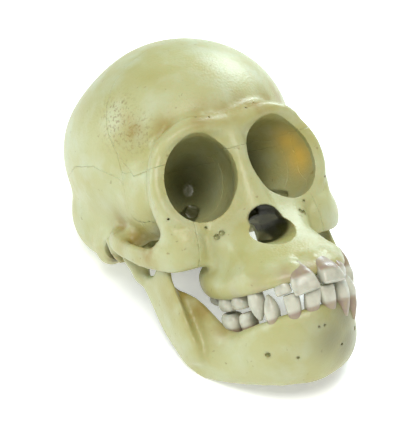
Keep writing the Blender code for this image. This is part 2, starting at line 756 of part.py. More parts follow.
def bone_material(name):
    """The bone's own shade of ivory."""
    material = bpy.data.materials.new(name)
    material.use_nodes = True
    shader = material.node_tree.nodes["Principled BSDF"]
    shader.inputs["Base Color"].default_value = (*BONE_COLOURS.get(name, IVORY), 1.0)
    shader.inputs["Roughness"].default_value = BONE_ROUGHNESS
    shader.inputs["Metallic"].default_value = 0.0
    return material


def main():
    for obj in list(bpy.data.objects):
        bpy.data.objects.remove(obj)
    bones = parted(simplified(cranium(), CRANIUM_TRIANGLES), bone_regions())
    jaw = simplified(mandible(), MANDIBLE_TRIANGLES)
    for side in ("left", "right"):
        jaw = cut(jaw, grown(bones["temporal_" + side], SUTURE_GAP))
    upper = teeth(UPPER_TEETH, UPPER_GUM, -1, UPPER_LEAN, UPPER_SHIFT, UPPER_SEED)
    lower = teeth(LOWER_TEETH, LOWER_GUM, 1, LOWER_LEAN, LOWER_SHIFT, LOWER_SEED)
    bones["maxilla"] = with_teeth(bones["maxilla"], upper)
    jaw = with_teeth(largest_shell(jaw), lower)
    for shape in upper:
        jaw = cut(jaw, grown(shape, SUTURE_GAP))
    bones["mandible"] = largest_shell(jaw)
    set_down(bones)
    for name, bone in bones.items():
        bone.materials.clear()
        bone.materials.append(bone_material(name))
        bone.shade_smooth()
        bone.set_sharp_from_angle(angle=math.radians(SHARP_ANGLE))
        new_object(name, bone)


main()
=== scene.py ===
import math

import bmesh
import bpy
import numpy as np
from mathutils import Matrix, Vector


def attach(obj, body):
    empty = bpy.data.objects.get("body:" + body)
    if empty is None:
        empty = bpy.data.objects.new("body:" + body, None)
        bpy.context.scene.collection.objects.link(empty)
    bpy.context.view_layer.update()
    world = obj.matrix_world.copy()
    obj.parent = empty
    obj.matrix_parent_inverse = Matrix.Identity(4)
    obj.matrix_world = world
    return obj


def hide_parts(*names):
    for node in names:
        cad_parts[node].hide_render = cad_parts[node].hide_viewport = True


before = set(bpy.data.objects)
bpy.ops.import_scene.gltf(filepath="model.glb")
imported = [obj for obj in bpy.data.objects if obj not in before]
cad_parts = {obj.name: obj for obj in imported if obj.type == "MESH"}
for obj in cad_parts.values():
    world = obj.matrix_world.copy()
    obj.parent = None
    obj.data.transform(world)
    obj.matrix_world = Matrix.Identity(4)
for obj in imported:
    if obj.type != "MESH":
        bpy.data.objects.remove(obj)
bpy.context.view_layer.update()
bpy.ops.object.select_all(action="DESELECT")
print("frame loaded:", len(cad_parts), "bones")

# A young chimpanzee's skull with its lower jaw. Sizes are in millimetres in the skull's own frame:
# x to its left, y to its back, z up, with the root of the nose at zero. What lies on both sides is
# given on the left. Each bone is turned into the resting pose, in metres, once it is finished.

rest = {
    "pitch": 34.9,  # degrees that the face is tipped upwards
    "nasion": (0.049, -18.821, 84.336),  # where the skull's own zero lies at rest
    "groundReach": 0.2,  # metres, of the block that cuts the bones level with the floor
    "groundDepth": 0.02,
}
toRest = (
    Matrix.Scale(0.001, 4)
    @ Matrix.Translation(rest["nasion"])
    @ Matrix.Rotation(math.radians(-rest["pitch"]), 4, "X")
)

# The voxel of each fused skin, and how often its creases are eased
skin = {
    "vault": (2.0, 18),
    "cranium": (1.6, 4),
    "craniumDetail": (0.75, 4),
    "openings": (0.6, 3),
    "jaw": (1.6, 6),
    "jawDetail": (0.75, 4),
    "pits": (0.25, 1),
}


def newObject(name, mesh):
    obj = bpy.data.objects.new(name, mesh)
    bpy.context.scene.collection.objects.link(obj)
    return obj


# A mesh from the bmesh, closed, with its faces outwards
def meshOf(bm):
    bmesh.ops.recalc_face_normals(bm, faces=bm.faces)
    mesh = bpy.data.meshes.new("shape")
    bm.to_mesh(mesh)
    bm.free()
    return mesh


def pointsOf(mesh):
    points = np.empty(len(mesh.vertices) * 3)
    mesh.vertices.foreach_get("co", points)
    return points.reshape(-1, 3)


def ellipsoid(centre, radii, pitch=0.0, fineness=4):
    bm = bmesh.new()
    bmesh.ops.create_icosphere(bm, subdivisions=fineness, radius=1.0)
    place = Matrix.Translation(centre) @ Matrix.Rotation(math.radians(pitch), 4, "X")
    bmesh.ops.transform(bm, matrix=place @ Matrix.Diagonal((*radii, 1.0)), verts=bm.verts)
    return meshOf(bm)


# The row at a position along the list, on a smooth curve through every row
def smoothRow(rows, position):
    rows = np.asarray(rows, float)
    last = len(rows) - 1
    index = min(int(position), last - 1)
    t = position - index
    before, start = rows[max(index - 1, 0)], rows[index]
    end, after = rows[index + 1], rows[min(index + 2, last)]
    leaving, arriving = (end - before) / 2, (after - start) / 2
    return (
        (2 * t**3 - 3 * t**2 + 1) * start
        + (t**3 - 2 * t**2 + t) * leaving
        + (3 * t**2 - 2 * t**3) * end
        + (t**3 - t**2) * arriving
    )


# Points close together on the smooth curve through every row, up to just before the last
def smoothLine(rows, count):
    return np.array([smoothRow(rows, step) for step in np.linspace(0, len(rows) - 1.001, count)])


# A solid through stations, each a centre and the two half axes of its oval section
def bar(stations, ringsBetween=4, sides=20, squareness=2.0, closed=False):
    rows = [np.concatenate(station) for station in stations]
    if closed:
        rows = rows[-1:] + rows + rows[:2]
        spans = (1, len(rows) - 2)
    else:
        spans = (0, len(rows) - 1)
    count = (spans[1] - spans[0]) * ringsBetween
    bm = bmesh.new()
    rings = []
    for ring in range(count if closed else count + 1):
        row = smoothRow(rows, spans[0] + ring / ringsBetween)
        centre, across, along = row[:3], row[3:6], row[6:9]
        points = []
        for side in range(sides):
            angle = 2 * math.pi * side / sides
            c, s = math.cos(angle), math.sin(angle)
            c = math.copysign(abs(c) ** (2 / squareness), c)
            s = math.copysign(abs(s) ** (2 / squareness), s)
            points.append(bm.verts.new(centre + c * across + s * along))
        rings.append(points)
    pairs = list(zip(rings, rings[1:]))
    if closed:
        pairs.append((rings[-1], rings[0]))
    else:
        bm.faces.new(rings[0])
        bm.faces.new(rings[-1])
    for first, second in pairs:
        for side in range(sides):
            after = (side + 1) % sides
            bm.faces.new((first[side], first[after], second[after], second[side]))
    return meshOf(bm)


# A block from one outline to another, each across the axis: its points leave the axis out
def prism(axis, low, high, outline, farOutline=None):
    bm = bmesh.new()
    ends = []
    for level, points in ((low, outline), (high, farOutline or outline)):
        ring = []
        for point in points:
            place = list(point)
            place.insert("xyz".index(axis), level)
            ring.append(bm.verts.new(place))
        ends.append(ring)
    count = len(outline)
    for side in range(count):
        after = (side + 1) % count
        bm.faces.new((ends[0][side], ends[0][after], ends[1][after], ends[1][side]))
    for ring in ends:
        bm.faces.new(ring)
    bmesh.ops.triangulate(bm, faces=bm.faces)
    return meshOf(bm)


# The same shape on the skull's other side
def mirrored(mesh):
    bm = bmesh.new()
    bm.from_mesh(mesh)
    bmesh.ops.scale(bm, vec=(-1, 1, 1), verts=bm.verts)
    return meshOf(bm)


def both(mesh):
    return [mesh, mirrored(mesh)]


# The stations continued over the midline to the other side
def mirrorRow(stations):
    flip = np.array((-1, 1, 1))
    other = [
        (np.array(centre) * flip, np.array(across) * flip, np.array(along) * flip)
        for centre, across, along in stations[-2::-1]
    ]
    return list(stations) + other


def joined(meshes):
    bm = bmesh.new()
    for mesh in meshes:
        bm.from_mesh(mesh)
        bpy.data.meshes.remove(mesh)
    mesh = bpy.data.meshes.new("masses")
    bm.to_mesh(mesh)
    bm.free()
    return mesh


# The mesh with each modifier applied, given as its type and its settings
def applied(mesh, *modifiers):
    obj = newObject("worked", mesh)
    bpy.context.view_layer.objects.active = obj
    for kind, settings in modifiers:
        modifier = obj.modifiers.new(kind.title(), kind)
        for setting, value in settings.items():
            setattr(modifier, setting, value)
        bpy.ops.object.modifier_apply(modifier=modifier.name)
    result = obj.data
    bpy.data.objects.remove(obj)
    return result


# One skin over all the masses, its creases eased
def fused(meshes, voxel, smoothing):
    return applied(
        joined(meshes),
        ("REMESH", {"mode": "VOXEL", "voxel_size": voxel}),
        ("SMOOTH", {"factor": 0.5, "iterations": smoothing}),
    )


def cut(mesh, cutter, operation="DIFFERENCE"):
    tool = newObject("cutter", cutter)
    settings = {"operation": operation, "solver": "MANIFOLD", "object": tool}
    result = applied(mesh, ("BOOLEAN", settings))
    bpy.data.objects.remove(tool)
    return result


# Only the largest closed surface of the mesh
def largestShell(mesh):
    bm = bmesh.new()
    bm.from_mesh(mesh)
    waiting = set(bm.verts)
    shells = []
    while waiting:
        shell, edge = set(), {waiting.pop()}
        while edge:
            vertex = edge.pop()
            shell.add(vertex)
            near = {link.other_vert(vertex) for link in vertex.link_edges} & waiting
            waiting -= near
            edge |= near
        shells.append(shell)
    kept = max(shells, key=len)
    bmesh.ops.delete(bm, geom=[v for v in bm.verts if v not in kept], context="VERTS")
    bm.to_mesh(mesh)
    bm.free()
    return mesh


# A copy of the region with each face moved outwards
def grown(region, distance):
    bm = bmesh.new()
    bm.from_mesh(region)
    bm.normal_update()
    moves = [(v, v.normal * v.calc_shell_factor() * distance) for v in bm.verts]
    for vertex, move in moves:
        vertex.co += move
    mesh = bpy.data.meshes.new("grown region")
    bm.to_mesh(mesh)
    bm.free()
    return mesh


# The orbit's rim is an ellipse that faces a little outwards and upwards
orbit = {
    "centre": (18.7, 4.0, -10.6),
    "halfWidth": 15.2,
    "halfHeight": 18.2,
    "outward": 5.5,  # degrees, as are the next two
    "upward": 8.0,
    "twist": 17.8,
    "apex": (11.0, 40.0, -15.0),
    "wall": 2.2,
    "front": 12,  # how far in front of the rim the cut starts
    "flare": 1.12,  # share of the rim's size there
    # how far towards the apex, and the share of the rim's size there
    "depths": ((0.0, 1.0), (0.22, 1.0), (0.45, 0.92), (0.68, 0.74), (0.86, 0.5), (1.0, 0.16)),
    "rim": 2.6,  # thickness
    "rimWidth": 1.3,  # share of the thickness
    "rimHeight": 1.2,
    "rimSteps": 16,
}


# The left orbit's rim: its centre, its width and height directions and the way it faces
def orbitFrame():
    outward, upward = math.radians(orbit["outward"]), math.radians(orbit["upward"])
    facing = Vector((
        math.sin(outward) * math.cos(upward),
        -math.cos(outward) * math.cos(upward),
        math.sin(upward),
    ))
    level = Vector((0, 0, 1)).cross(facing).normalized()
    level = level if level.x > 0 else -level
    upright = facing.cross(level)
    upright = upright if upright.z > 0 else -upright
    twist = math.radians(orbit["twist"])
    width = math.cos(twist) * level + math.sin(twist) * upright
    height = math.cos(twist) * upright - math.sin(twist) * level
    return Vector(orbit["centre"]), width, height, facing


# The hollow of the left orbit, grown by a wall, starting this far in front of the rim
def orbitCone(wall, front):
    centre, width, height, facing = orbitFrame()
    apex = Vector(orbit["apex"])
    depths = [(centre.lerp(apex, depth), size) for depth, size in orbit["depths"]]
    if front:
        depths.insert(0, (centre + facing * front, orbit["flare"]))
    stations = [
        (place, width * (orbit["halfWidth"] * size + wall), height * (orbit["halfHeight"] * size + wall))
        for place, size in depths
    ]
    return bar(stations, ringsBetween=3, sides=32)


def orbitRim():
    centre, width, height, facing = orbitFrame()
    rim = orbit["rim"]
    stations = []
    for step in range(orbit["rimSteps"]):
        angle = 2 * math.pi * step / orbit["rimSteps"]
        outward = math.cos(angle) * width + math.sin(angle) * height
        place = (
            centre
            + math.cos(angle) * width * (orbit["halfWidth"] + rim)
            + math.sin(angle) * height * (orbit["halfHeight"] + rim)
            - facing * rim
        )
        stations.append((place, outward * rim * orbit["rimWidth"], facing * rim * orbit["rimHeight"]))
    return bar(stations, ringsBetween=3, sides=12, closed=True)


# Rounded masses are a centre and three radii. Long ones are stations: a centre, then the two half
# axes of the section.
braincase = {
    "centre": (0.0, 66.5, 6.1),
    "radii": (49.4, 60.2, 45.6),
    "pitch": -3.5,
    # the low, broad part over the ears
    "low": (
        ((0, 32.0, -9.0), (32.0, 0, 0), (0, 0, 16.0)),
        ((0, 44.0, -11.5), (40.5, 0, 0), (0, 0, 19.0)),
        ((0, 58.0, -12.0), (43.5, 0, 0), (0, 0, 23.0)),
        ((0, 76.0, -13.5), (45.5, 0, 0), (0, 0, 24.0)),
        ((0, 92.0, -11.0), (43.0, 0, 0), (0, 0, 23.0)),
        ((0, 106.0, -7.0), (33.0, 0, 0), (0, 0, 19.0)),
    ),
    "lowSquareness": 2.6,
    "mastoid": ((41.0, 70.0, -31.0), (6.5, 12.0, 9.0)),
    "hindlobe": ((32.5, 87.0, -17.0), (15.5, 20.0, 20.0)),
    "temple": ((29.0, 36.0, -12.0), (13.0, 23.0, 21.0)),
}
face = {
    "cheekAndArch": (
        ((24.0, 5.0, -37.0), (2, -5, 0), (0, 0, 9)),
        ((31.0, 6.0, -36.0), (3, -4.5, 0), (0, 0, 10)),
        ((37.0, 10.0, -37.0), (3.2, -2.6, 0), (0, 0, 9)),
        ((41.5, 18.0, -38.0), (2.4, -0.8, 0), (0, 0, 5.6)),
        ((44.5, 28.0, -35.5), (2.2, -0.3, 0), (0, 0.8, 5.2)),
        ((45.5, 38.0, -32.0), (2.4, 0, 0), (0, 1.2, 5.2)),
        ((44.5, 47.0, -29.5), (3.6, 0, 0), (0, 1.0, 5.6)),
        ((40.0, 56.0, -28.0), (6, 0, 0), (0, 0, 6.0)),
    ),
    "frontalProcess": (
        ((34.5, 8.5, -32.0), (3.6, 0, 0), (0, 5.5, 0)),
        ((36.6, 10.5, -22.0), (2.8, 0, 0), (0, 5.5, 0)),
        ((36.6, 12.5, -13.0), (2.4, 0, 0), (0, 5.6, 0)),
        ((35.2, 12.0, -4.0), (2.4, 0, 0), (0, 5.0, 0)),
        ((32.5, 12.0, 3.0), (2.6, 0, 0), (0, 5.5, 0)),
        ((29.0, 13.0, 8.5), (2.6, 0, 0), (0, 6.0, 0)),
    ),
    "brow": (
        ((32.5, 11.0, 3.5), (0, 5.0, 0), (1, 0, 2.6)),
        ((26.5, 9.0, 8.0), (0, 6.0, 0), (0.5, 0, 3.4)),
        ((17.0, 8.5, 10.5), (0, 7.0, 0), (0, 0, 4.2)),
        ((7.0, 8.5, 9.0), (0, 7.5, 0), (0, 0, 5.5)),
        ((0.0, 9.0, 7.5), (0, 8.0, 0), (0, 0, 6.5)),
    ),
    "nose": (
        ((0, 10.0, 8.0), (7.5, 0, 0), (0, 9.0, 0)),
        ((0, 7.5, 0.0), (5.6, 0, 0), (0, 7.5, 0)),
        ((0, 7.0, -9.0), (5.4, 0, 0), (0, 8.0, 0)),
        ((0, 6.0, -18.0), (7.5, 0, 0), (0, 9.5, 0)),
        ((0, 5.0, -27.0), (10.0, 0, 0), (0, 11.5, 0)),
        ((0, 4.0, -36.0), (15.5, 0, 0), (0, 15.5, 0)),
        ((0, 2.0, -44.0), (18.0, 0, 0), (0, 21.5, 0)),
    ),
    "maxilla": (
        ((0, 16.0, -24.0), (26.0, 0, 0), (0, 17.0, 0)),
        ((0, 13.0, -31.0), (25.5, 0, 0), (0, 18.0, 0)),
        ((0, 8.0, -39.0), (23.5, 0, 0), (0, 21.5, 0)),
        ((0, 1.5, -46.0), (23.0, 0, 0), (0, 25.5, 0)),
        ((0, -4.0, -52.0), (23.5, 0, 0), (0, 29.5, 0)),
    ),
    "maxillaSquareness": 2.5,
    "upperArcade": (
        ((22.0, 17.0, -52.0), (3.8, 0, 0), (0, 0, 6.5)),
        ((22.8, 9.0, -54.0), (4.4, 0, 0), (0, 0, 6.5)),
        ((22.2, -4.0, -55.5), (4.2, 0, 0), (0, 0, 5.6)),
        ((20.0, -16.0, -54.5), (4.2, -1.4, 0), (-0.6, 1.5, 5.8)),
        ((16.4, -25.0, -55.0), (3.4, -3.0, 0), (-0.8, 1.5, 4.4)),
        ((9.0, -30.6, -55.4), (1.6, -4.0, 0), (0, 1.5, 3.6)),
        ((0.0, -33.0, -55.2), (0, -4.0, 0), (0, 1.5, 3.4)),
    ),
}
underside = {
    "middle": (
        ((0, 30.0, -22.0), (14.0, 0, 0), (0, 0, 9.0)),
        ((0, 48.0, -30.0), (11.0, 0, 0), (0, 0, 8.0)),
        ((0, 70.0, -36.0), (11.0, 0, 0), (0, 0, 6.0)),
    ),
    "earBar": (
        ((42.0, 59.0, -32.0), (0, 6.0, 0), (0, 0, 6.0)),
        ((28.0, 55.0, -35.0), (0, 5.5, 0), (0, 0, 5.5)),
        ((12.0, 50.0, -35.0), (0, 5.0, 0), (0, 0, 5.0)),
    ),
    "glenoid": ((37.5, 46.0, -28.6), (7.0, 9.0, 5.0)),
    "neckCondyle": ((11.0, 74.0, -40.0), (5.0, 8.0, 4.5)),
    "pterygoid": (
        ((13.0, 30.0, -26.0), (2.5, 0, 0), (0, 7.0, 0)),
        ((13.0, 30.0, -38.0), (1.8, 0, 0), (0, 6.0, 0)),
        ((12.5, 28.0, -50.0), (1.6, 0, 0), (0, 5.0, 0)),
    ),
    "postglenoid": (
        ((44.0, 56.0, -26.0), (3.0, 0, 0), (0, 2.2, 0)),
        ((42.5, 54.5, -33.0), (4.2, 0, 0), (0, 1.9, 0)),
        ((41.0, 53.5, -38.0), (3.4, 0, 0), (0, 1.4, 0)),
    ),
}
openings = {
    "earHole": (
        ((54.0, 61.5, -32.5), (0, 3.4, 0), (0, 0, 5.4)),
        ((42.0, 61.0, -32.5), (0, 2.8, 0), (0, 0, 4.4)),
        ((34.0, 60.0, -33.0), (0, 1.8, 0), (0, 0, 2.4)),
    ),
    "nosePassage": (
        ((5.0, -1.0, -36.5), (3.6, 0, 0), (0, 0, 6.0)),
        ((5.6, 16.0, -37.5), (4.8, 0, 0), (0, 0, 6.0)),
        ((5.8, 34.0, -40.0), (5.0, 0, 0), (0, 0, 5.5)),
        ((6.0, 54.0, -43.5), (5.2, 0, 0), (0, 0, 4.5)),
    ),
    "lowerFissure": (
        ((28.0, 12.0, -31.0), (2.5, 3, 0), (1.2, -1, 0)),
        ((22.0, 24.0, -27.0), (0, 0, 3.0), (3.0, 2, 0)),
        ((13.0, 36.0, -24.0), (0, 0, 3.0), (2.5, 2.0, 0)),
    ),
    "spine": (
        ((0, 92.0, -62.0), (12.0, 0, 0), (0, 14.0, 0)),
        ((0, 86.0, -40.0), (11.0, 0, 0), (0, 13.0, 0)),
        ((0, 82.0, -24.0), (11.0, 0, 0), (0, 13.0, 0)),
        ((0, 80.0, -12.0), (6.0, 0, 0), (0, 7.0, 0)),
    ),
    "noseLow": (
        ((0, -34.0, -40.0), (10.6, 0, 0), (0, 0, 5.2)),
        ((0, -10.0, -37.6), (9.8, 0, 0), (0, 0, 5.2)),
        ((0, 14.0, -36.6), (9.2, 0, 0), (0, 0, 5.4)),
    ),
    "noseHigh": (
        ((0, -34.0, -34.0), (7.4, 0, 0), (0, 0, 6.5)),
        ((0, -8.0, -33.5), (7.4, 0, 0), (0, 0, 6.5)),
        ((0, 13.0, -33.0), (6.8, 0, 0), (0, 0, 6.6)),
    ),
}

# Bulges over the roots of the teeth, and hollows of the cheek, the temple and the palate: a place,
# its reach and how far the surface is pushed there
strokes = (
    ((20.0, -21.0, -49.0), 4.0, (1.3, -1.1, 0.0)),
    ((18.6, -18.0, -42.0), 4.0, (1.0, -0.9, 0.2)),
    ((5.5, -31.0, -50.5), 3.0, (0.0, -1.0, 0.5)),
    ((12.5, -28.0, -50.5), 2.6, (0.3, -0.6, 0.3)),
    ((0.0, -30.0, -49.5), 2.6, (0.0, 0.8, -0.5)),
    ((24.0, -7.0, -44.0), 6.5, (-2.0, 1.6, 0.0)),
    ((34.0, 22.0, 6.0), 9.0, (-1.6, 0.0, 0.0)),
    ((24.0, 84.0, 44.0), 20.0, (-0.9, -0.4, -1.8)),
    ((0.0, -4.0, -58.0), 10.0, (0.0, 0.0, 3.0)),
)


# The surface pushed in or out around each stroke, on both sides
def swelled(mesh):
    points = pointsOf(mesh)
    for place, reach, push in strokes:
        for side in (1, -1) if place[0] else (1,):
            mirror = np.array((side, 1, 1))
            away = (points - mirror * np.array(place)) / reach
            weight = np.exp(-(away**2).sum(axis=1))
            points += weight[:, None] * mirror * np.array(push)
    mesh.vertices.foreach_set("co", points.ravel())
    mesh.update()
    return mesh


# Small holes for nerves and vessels: a place and how wide
pits = {
    "cranium": (
        ((20.3, -1.8, -35.0), 1.2),
        ((18.3, -3.1, -33.9), 1.1),
        ((22.7, 1.4, -30.4), 0.6),
        ((36.2, 5.5, -23.1), 0.8),
        ((37.2, 8.6, -24.8), 0.5),
        ((13.4, 5.3, 14.3), 0.45),
        ((8.5, 3.4, 12.9), 0.45),
        ((9.0, -13.0, -46.0), 0.5),
    ),
    "jaw": (
        ((19.9, -21.8, -84.4), 1.0),
        ((10.0, -27.4, -88.3), 0.6),
        ((1.3, -34.9, -78.0), 0.45),
    ),
    "length": 2,  # of each hole, in widths
}


def pitted(mesh, rows):
    drills = []
    for place, wide in rows:
        drills += both(ellipsoid(place, (wide, wide * pits["length"], wide), fineness=3))
    return cut(mesh, fused(drills, *skin["pits"]))


def makeCranium():
    vault = [
        ellipsoid(braincase["centre"], braincase["radii"], braincase["pitch"], fineness=5),
        bar(braincase["low"], squareness=braincase["lowSquareness"]),
    ]
    for part in ("mastoid", "hindlobe", "temple"):
        vault += both(ellipsoid(*braincase[part]))
    broad = [
        fused(vault, *skin["vault"]),
        bar(face["maxilla"], squareness=face["maxillaSquareness"]),
        bar(underside["middle"]),
        bar(face["nose"]),
    ]
    for stations in (face["cheekAndArch"], face["frontalProcess"], underside["earBar"]):
        broad += both(bar(stations))
    broad += both(orbitCone(orbit["wall"], 0))
    for part in ("glenoid", "neckCondyle"):
        broad += both(ellipsoid(*underside[part]))
    broad.append(bar(mirrorRow(face["brow"])))
    broad.append(bar(mirrorRow(face["upperArcade"])))
    detail = [fused(broad, *skin["cranium"]), *both(orbitRim())]
    for part in ("pterygoid", "postglenoid"):
        detail += both(bar(underside[part]))
    skull = swelled(fused(detail, *skin["craniumDetail"]))
    holes = both(orbitCone(0, orbit["front"]))
    for part in ("earHole", "nosePassage", "lowerFissure"):
        holes += both(bar(openings[part]))
    for part in ("spine", "noseLow", "noseHigh"):
        holes.append(bar(openings[part]))
    skull = cut(skull, fused(holes, *skin["openings"]))
    return pitted(skull, pits["cranium"])


lowerJaw = {
    "body": (
        ((36.0, 27.0, -67.0), (3.0, 0, 0), (0, -2.0, 17.0)),
        ((31.5, 17.0, -74.0), (3.6, -1.5, 0), (-2.5, -2.0, 17.0)),
        ((26.3, 4.0, -83.6), (5.0, -2.0, 0), (-2.0, -3.5, 10.8)),
        ((20.6, -9.5, -84.5), (4.8, -3.0, -1), (-0.5, -5.5, 12.6)),
        ((13.0, -20.0, -84.8), (3.0, -4.8, -2.2), (0.5, -8.5, 14.7)),
        ((0.0, -25.0, -85.3), (0, -5.2, -3.0), (0, -10.0, 15.8)),
    ),
    "ramus": (
        ((36.0, 17.0, -84.0), (2.8, 0, 0), (0, 9.0, 0)),
        ((37.0, 19.5, -77.0), (2.8, 0, 0), (0, 12.5, 0)),
        ((37.6, 23.5, -69.0), (2.6, 0, 0), (0, 15.5, 0)),
        ((37.8, 27.5, -58.0), (2.4, 0, 0), (0, 17.0, 0)),
        ((37.8, 32.0, -49.0), (2.3, 0, 0), (0, 18.0, 0)),
        ((37.8, 34.0, -45.0), (2.2, 0, 0), (0, 18.0, 0)),
    ),
    "coronoid": (
        ((37.5, 23.0, -47.0), (2.2, 0, 0), (0, 8.0, 0)),
        ((36.5, 23.5, -39.0), (1.9, 0, 0), (0, 5.5, 0)),
        ((35.5, 25.5, -31.0), (1.4, 0, 0), (0, 2.5, 0)),
    ),
    "condyle": (
        ((38.0, 47.5, -48.0), (3.0, 0, 0), (0, 6.0, 0)),
        ((38.2, 47.0, -41.0), (5.0, 0, 0), (0, 3.6, 0)),
        ((38.0, 46.5, -36.6), (7.5, 0, 0), (0, 3.4, 0)),
        ((37.8, 46.5, -31.0), (7.0, 0, 0), (0, 3.0, 0)),
    ),
}


def makeLowerJaw():
    masses = [bar(mirrorRow(lowerJaw["body"]))]
    for part in ("ramus", "coronoid", "condyle"):
        masses += both(bar(lowerJaw[part]))
    jaw = fused([fused(masses, *skin["jaw"])], *skin["jawDetail"])
    return pitted(jaw, pits["jaw"])


# The bones' borders. Side outlines are y and z, the zygomatic's are x and y.
borders = {
    "suture": 0.06,  # a hairline between one bone and the next
    "reach": 70,  # further out than any bone
    "frontal": (
        (-30, -1.5), (12, -1.5), (26, -3), (31, 3), (37, 20), (42, 38), (45, 56), (46, 80), (-30, 80),
    ),
    "zygomaticAbove": (
        (22, -30), (70, -30), (70, 33), (40.5, 33), (37, 24), (33, 19.5), (30, 16), (22, 4),
    ),
    "zygomaticBelow": (
        (31, -30), (70, -30), (70, 33), (40.5, 33), (37.5, 24), (33.5, 19.5), (32, 16), (31, 4),
    ),
    "zygomaticHeights": (-60, 12),
    "temporalDepth": 27.0,
    "temporal": (
        (29, -60), (29, -14), (35, -3), (48, 5), (64, 7), (80, 3), (91, -7), (97, -20), (93, -60),
    ),
    "parietal": (
        (24, -6), (24, 80), (140, 80), (140, 38), (119, 27), (106, 4), (97, -13), (60, -4),
    ),
    "occipital": ((62, -80), (62, 0), (150, 50), (150, -80)),
    "maxilla": ((-60, -80), (-60, 10), (22, 10), (22, -80)),
}


# Where each bone lies, in the order in which they are parted from the skull
def boneRegions():
    reach = borders["reach"]
    low, high = borders["zygomaticHeights"]
    leftOnes = {
        "zygomatic": prism("z", low, high, borders["zygomaticBelow"], borders["zygomaticAbove"]),
        "temporal": prism("x", borders["temporalDepth"], reach, borders["temporal"]),
        "parietal": prism("x", borders["suture"] / 2, reach, borders["parietal"]),
    }
    regions = {"frontal": prism("x", -reach, reach, borders["frontal"])}
    for name, left in leftOnes.items():
        regions[name + "_left"], regions[name + "_right"] = both(left)
    for name in ("occipital", "maxilla"):
        regions[name] = prism("x", -reach, reach, borders[name])
    return regions


# The bones that each region takes in turn, a suture's gap apart, and what is left
def parted(skull, regions):
    parts = {}
    for name, region in regions.items():
        wider = grown(region, borders["suture"])
        parts[name] = largestShell(cut(skull.copy(), region, "INTERSECT"))
        skull = cut(skull, wider)
    parts["sphenoid"] = largestShell(skull)
    return parts


# A tooth's shape is a row of sections from the root's end to the biting edge: how far along the
# tooth (root below zero, crown above), then its width and its depth as shares of the crown's.
toothShapes = {
    "upperIncisor": (
        (-1.0, 0.4, 0.2),
        (-0.5, 0.68, 0.5),
        (0.0, 0.86, 0.88),
        (0.45, 0.98, 0.9),
        (0.85, 1.0, 0.55),
        (1.0, 0.96, 0.3),
    ),
    "lowerIncisor": (
        (-1.0, 0.45, 0.5),
        (-0.5, 0.74, 0.8),
        (0.0, 0.88, 0.95),
        (0.45, 0.98, 0.9),
        (0.85, 1.0, 0.55),
        (1.0, 0.96, 0.3),
    ),
    "canine": (
        (-1.0, 0.25, 0.3),
        (-0.4, 0.75, 0.8),
        (0.0, 0.88, 0.9),
        (0.35, 1.0, 1.0),
        (0.75, 0.66, 0.62),
        (1.0, 0.16, 0.16),
    ),
    "molar": (
        (-1.0, 0.6, 0.6),
        (-0.2, 0.82, 0.82),
        (0.1, 0.9, 0.92),
        (0.5, 1.0, 1.0),
        (0.85, 0.9, 0.88),
        (1.0, 0.62, 0.6),
        (0.86, 0.2, 0.2),
    ),
}

# Each tooth: its shape, its distance from the midline along the row of teeth, its width along the
# row, its depth, the height of its crown, the length of its root and how far it stands out. The gum
# runs from the midline backwards. The lean is of the front teeth's crowns and roots, in degrees.
upperRow = {
    "teeth": (
        ("upperIncisor", 5.5, 10.9, 6.4, 7.2, 7.0, 0.6),
        ("upperIncisor", 14.2, 6.8, 5.2, 4.8, 6.0, 0.0),
        ("canine", 27.6, 6.6, 6.4, 11.0, 8.0, 0.8),
        ("molar", 38.4, 8.6, 8.8, 5.2, 5.0, 0.0),
        ("molar", 49.0, 10.4, 9.8, 5.4, 5.0, 0.0),
        ("molar", 59.6, 9.0, 9.4, 3.6, 4.0, -0.4),
    ),
    "gum": (
        (0.0, -35.4, -56.0),
        (7.0, -34.4, -56.6),
        (13.0, -30.4, -57.6),
        (17.6, -24.4, -58.6),
        (20.4, -16.0, -59.8),
        (21.8, -5.0, -60.4),
        (22.2, 6.0, -60.2),
        (22.0, 17.0, -58.0),
    ),
    "up": -1,  # the crowns point down
    "lean": (38.0, 44.0),
    "shift": 2.2,  # of the whole row, to the skull's left of the middle
    "seed": 4,
}
lowerRow = {
    "teeth": (
        ("lowerIncisor", 3.7, 7.0, 5.6, 7.4, 7.0, 1.2),
        ("lowerIncisor", 10.2, 6.6, 5.8, 7.8, 7.5, 1.8),
        ("canine", 18.4, 6.0, 6.2, 10.0, 9.5, 2.4),
        ("molar", 36.0, 8.0, 7.6, 6.0, 5.0, 0.0),
        ("molar", 46.0, 9.6, 8.6, 6.4, 5.0, 0.0),
    ),
    "gum": (
        (0.0, -32.6, -69.6),
        (7.0, -31.4, -70.0),
        (12.4, -27.4, -70.6),
        (16.8, -20.4, -71.6),
        (19.8, -11.0, -72.6),
        (22.8, 1.0, -73.0),
        (25.4, 12.0, -71.0),
    ),
    "up": 1,
    "lean": (22.0, 26.0),
    "shift": 2.4,
    "seed": 9,
}

# How the teeth differ from one another, and what they have in common
growth = {
    "place": 0.25,  # how far a tooth strays along the row
    "lean": 3.0,  # degrees, as is the turn
    "turn": 3.5,
    "crown": (0.95, 1.05),  # shares of the crown's height
    "sidewaysLean": 0.2,  # share of the forward lean
    "sides": 18,
    "squareness": 2.6,
    "rootFade": (0.9, -0.6),  # heights over the gum where the root's tone begins and is full
}


# The place this far along the row and the direction in which the row goes there
def alongRow(points, distance):
    line = smoothLine(points, count=400)
    travelled = np.concatenate([[0], np.cumsum(np.linalg.norm(np.diff(line, axis=0), axis=1))])
    place = Vector([np.interp(distance, travelled, line[:, axis]) for axis in range(3)])
    ahead = Vector([np.interp(distance + 1.0, travelled, line[:, axis]) for axis in range(3)])
    return place, (ahead - place).normalized()


